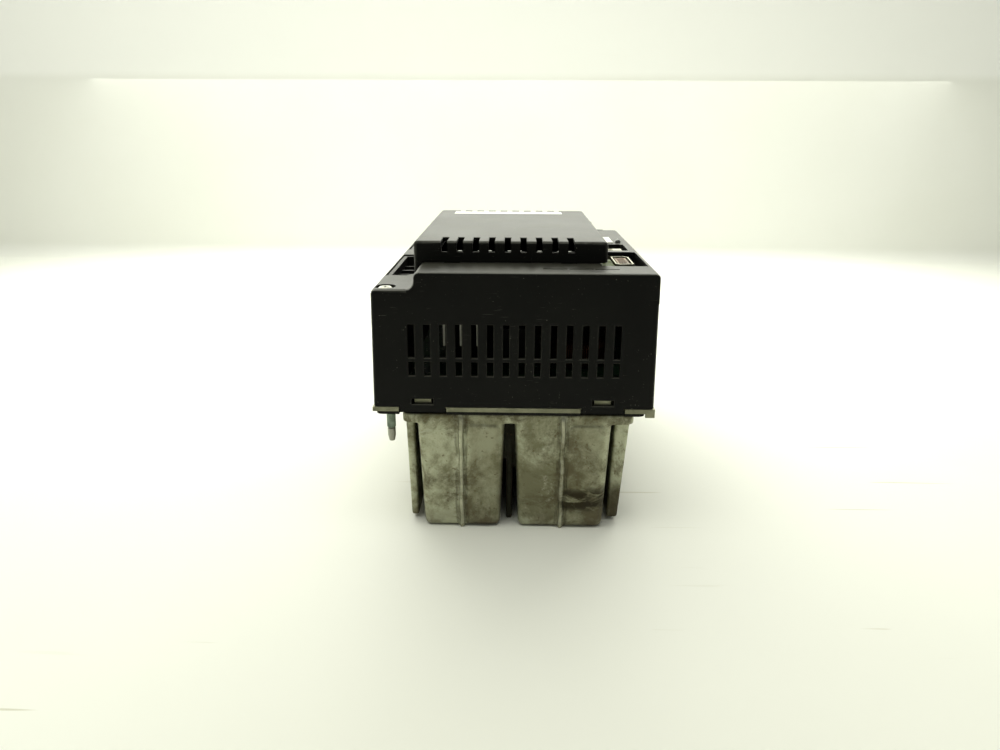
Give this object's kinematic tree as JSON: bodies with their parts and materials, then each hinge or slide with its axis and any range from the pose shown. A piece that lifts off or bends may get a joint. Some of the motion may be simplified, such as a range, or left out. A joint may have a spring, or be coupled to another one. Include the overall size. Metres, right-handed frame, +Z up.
{
  "type": "variable frequency drive",
  "caption": "Panel-mount motor drive: black vented housing with a tilting front cover and power terminals, on a steel plate over a push-through cast heatsink with fans.",
  "frame": {"origin": "centre of the footprint on the floor under the heatsink", "axes": "+X to the right across the drive seen from its vented near end, +Y along its length to the fan end, +Z up through the front cover"},
  "size_m": [0.184, 0.303, 0.1933],
  "materials": {
    "black_plastic": "black moulded plastic, fine spark texture, dusty",
    "cast_aluminium": "as-cast aluminium with brown and grey stains",
    "zinc_steel": "zinc plated sheet steel, slightly dull",
    "bright_steel": "bright plated steel",
    "brass": "turned brass",
    "foam_rubber": "black closed-cell foam rubber",
    "circuit_board": "green solder mask on glass-epoxy board",
    "green_plastic": "yellow-green moulded plastic",
    "cream_plastic": "cream moulded plastic",
    "pale_sleeve": "pale green plastic sleeve, dusty",
    "white_label": "blank white film label",
    "dark_plastic": "dark grey moulded plastic",
    "capacitor_sleeve": "dark blue shrink sleeve",
    "bright_aluminium": "bright extruded aluminium",
    "copper_winding": "enamelled copper winding",
    "gold_contact": "gold-plated contacts in a brown insulator",
    "smoked_lens": "smoked clear lens"
  },
  "bodies": {
    "chassis": {"board_standoff_1": "brass", "board_standoff_2": "brass", "board_standoff_3": "brass", "board_standoff_4": "brass", "capacitor_far_left": "capacitor_sleeve", "capacitor_far_right": "capacitor_sleeve", "capacitor_near_left": "capacitor_sleeve", "capacitor_near_right": "capacitor_sleeve", "common_mode_choke": "copper_winding", "control_board": "circuit_board", "control_standoff_1": "brass", "control_standoff_2": "brass", "control_standoff_3": "brass", "control_standoff_4": "brass", "driver_board": "circuit_board", "fan_frame_left": "black_plastic", "fan_frame_right": "black_plastic", "fan_plate": "zinc_steel", "heatsink": "cast_aluminium", "housing_shell": "black_plastic", "mounting_plate": "zinc_steel", "plate_gasket": "foam_rubber", "power_board": "circuit_board", "power_module": "dark_plastic", "precharge_relay": "dark_plastic", "processor": "dark_plastic", "screw_sleeve_far_right": "pale_sleeve", "screw_sleeve_near_left": "pale_sleeve", "signal_terminal": "green_plastic", "socket_contacts": "gold_contact", "socket_shell": "bright_steel", "status_lamp": "smoked_lens", "supply_heatsink": "bright_aluminium", "supply_transformer": "dark_plastic", "switch_body": "cream_plastic", "terminal_block_1": "black_plastic", "terminal_block_2": "black_plastic", "terrace_label": "white_label"},
    "cover": {"front_cover": "black_plastic", "cover_label": "white_label"},
    "cover_latch_left": {"cover_latch_left": "dark_plastic"},
    "cover_latch_right": {"cover_latch_right": "dark_plastic"},
    "captive_screw_near_left": {"captive_screw_near_left": "bright_steel"},
    "captive_screw_far_right": {"captive_screw_far_right": "bright_steel"},
    "terminal_screw_1_1": {"terminal_screw_1_1": "bright_steel"},
    "terminal_screw_1_2": {"terminal_screw_1_2": "bright_steel"},
    "terminal_screw_1_3": {"terminal_screw_1_3": "bright_steel"},
    "terminal_screw_1_4": {"terminal_screw_1_4": "bright_steel"},
    "terminal_screw_1_5": {"terminal_screw_1_5": "bright_steel"},
    "terminal_screw_2_1": {"terminal_screw_2_1": "bright_steel"},
    "terminal_screw_2_2": {"terminal_screw_2_2": "bright_steel"},
    "terminal_screw_2_3": {"terminal_screw_2_3": "bright_steel"},
    "terminal_screw_2_4": {"terminal_screw_2_4": "bright_steel"},
    "terminal_screw_2_5": {"terminal_screw_2_5": "bright_steel"},
    "switch_lever_1": {"switch_lever_1": "white_label"},
    "switch_lever_2": {"switch_lever_2": "white_label"},
    "switch_lever_3": {"switch_lever_3": "white_label"},
    "switch_lever_4": {"switch_lever_4": "white_label"},
    "fan_rotor_left": {"fan_rotor_left": "dark_plastic"},
    "fan_rotor_right": {"fan_rotor_right": "dark_plastic"}
  },
  "joints": [
    {"name": "cover_tilt", "type": "hinge", "parent": "chassis", "child": "cover", "pos_m": [-0.0028, -0.114, 0.1793], "axis": [1, 0, 0], "range_deg": [0, 60]},
    {"name": "latch_left_press", "type": "slide", "parent": "cover", "child": "cover_latch_left", "axis": [1, 0, 0], "range_m": [0, 0.002], "stiffness_N_per_m": 900},
    {"name": "latch_right_press", "type": "slide", "parent": "cover", "child": "cover_latch_right", "axis": [-1, 0, 0], "range_m": [0, 0.002], "stiffness_N_per_m": 900},
    {"name": "captive_screw_near_left_turn", "type": "hinge", "parent": "chassis", "child": "captive_screw_near_left", "pos_m": [-0.0822, -0.1388, 0.165], "axis": [0, 0, 1], "continuous": true},
    {"name": "captive_screw_far_right_turn", "type": "hinge", "parent": "chassis", "child": "captive_screw_far_right", "pos_m": [0.0822, 0.1388, 0.165], "axis": [0, 0, 1], "continuous": true},
    {"name": "terminal_screw_1_1_turn", "type": "hinge", "parent": "chassis", "child": "terminal_screw_1_1", "pos_m": [-0.08009, -0.0905, 0.1563], "axis": [0, 0, 1], "continuous": true},
    {"name": "terminal_screw_1_2_turn", "type": "hinge", "parent": "chassis", "child": "terminal_screw_1_2", "pos_m": [-0.08009, -0.0745, 0.1563], "axis": [0, 0, 1], "continuous": true},
    {"name": "terminal_screw_1_3_turn", "type": "hinge", "parent": "chassis", "child": "terminal_screw_1_3", "pos_m": [-0.08009, -0.0585, 0.1563], "axis": [0, 0, 1], "continuous": true},
    {"name": "terminal_screw_1_4_turn", "type": "hinge", "parent": "chassis", "child": "terminal_screw_1_4", "pos_m": [-0.08009, -0.0425, 0.1563], "axis": [0, 0, 1], "continuous": true},
    {"name": "terminal_screw_1_5_turn", "type": "hinge", "parent": "chassis", "child": "terminal_screw_1_5", "pos_m": [-0.08009, -0.0265, 0.1563], "axis": [0, 0, 1], "continuous": true},
    {"name": "terminal_screw_2_1_turn", "type": "hinge", "parent": "chassis", "child": "terminal_screw_2_1", "pos_m": [-0.08009, 0.022, 0.1563], "axis": [0, 0, 1], "continuous": true},
    {"name": "terminal_screw_2_2_turn", "type": "hinge", "parent": "chassis", "child": "terminal_screw_2_2", "pos_m": [-0.08009, 0.038, 0.1563], "axis": [0, 0, 1], "continuous": true},
    {"name": "terminal_screw_2_3_turn", "type": "hinge", "parent": "chassis", "child": "terminal_screw_2_3", "pos_m": [-0.08009, 0.054, 0.1563], "axis": [0, 0, 1], "continuous": true},
    {"name": "terminal_screw_2_4_turn", "type": "hinge", "parent": "chassis", "child": "terminal_screw_2_4", "pos_m": [-0.08009, 0.07, 0.1563], "axis": [0, 0, 1], "continuous": true},
    {"name": "terminal_screw_2_5_turn", "type": "hinge", "parent": "chassis", "child": "terminal_screw_2_5", "pos_m": [-0.08009, 0.086, 0.1563], "axis": [0, 0, 1], "continuous": true},
    {"name": "switch_lever_1_slide", "type": "slide", "parent": "chassis", "child": "switch_lever_1", "axis": [1, 0, 0], "range_m": [0, 0.0036]},
    {"name": "switch_lever_2_slide", "type": "slide", "parent": "chassis", "child": "switch_lever_2", "axis": [1, 0, 0], "range_m": [0, 0.0036]},
    {"name": "switch_lever_3_slide", "type": "slide", "parent": "chassis", "child": "switch_lever_3", "axis": [1, 0, 0], "range_m": [0, 0.0036]},
    {"name": "switch_lever_4_slide", "type": "slide", "parent": "chassis", "child": "switch_lever_4", "axis": [1, 0, 0], "range_m": [0, 0.0036]},
    {"name": "fan_left_spin", "type": "hinge", "parent": "chassis", "child": "fan_rotor_left", "pos_m": [-0.0288, 0.1257, 0.0391], "axis": [0, 1, 0], "continuous": true},
    {"name": "fan_right_spin", "type": "hinge", "parent": "chassis", "child": "fan_rotor_right", "pos_m": [0.0352, 0.1257, 0.0391], "axis": [0, 1, 0], "continuous": true}
  ]
}
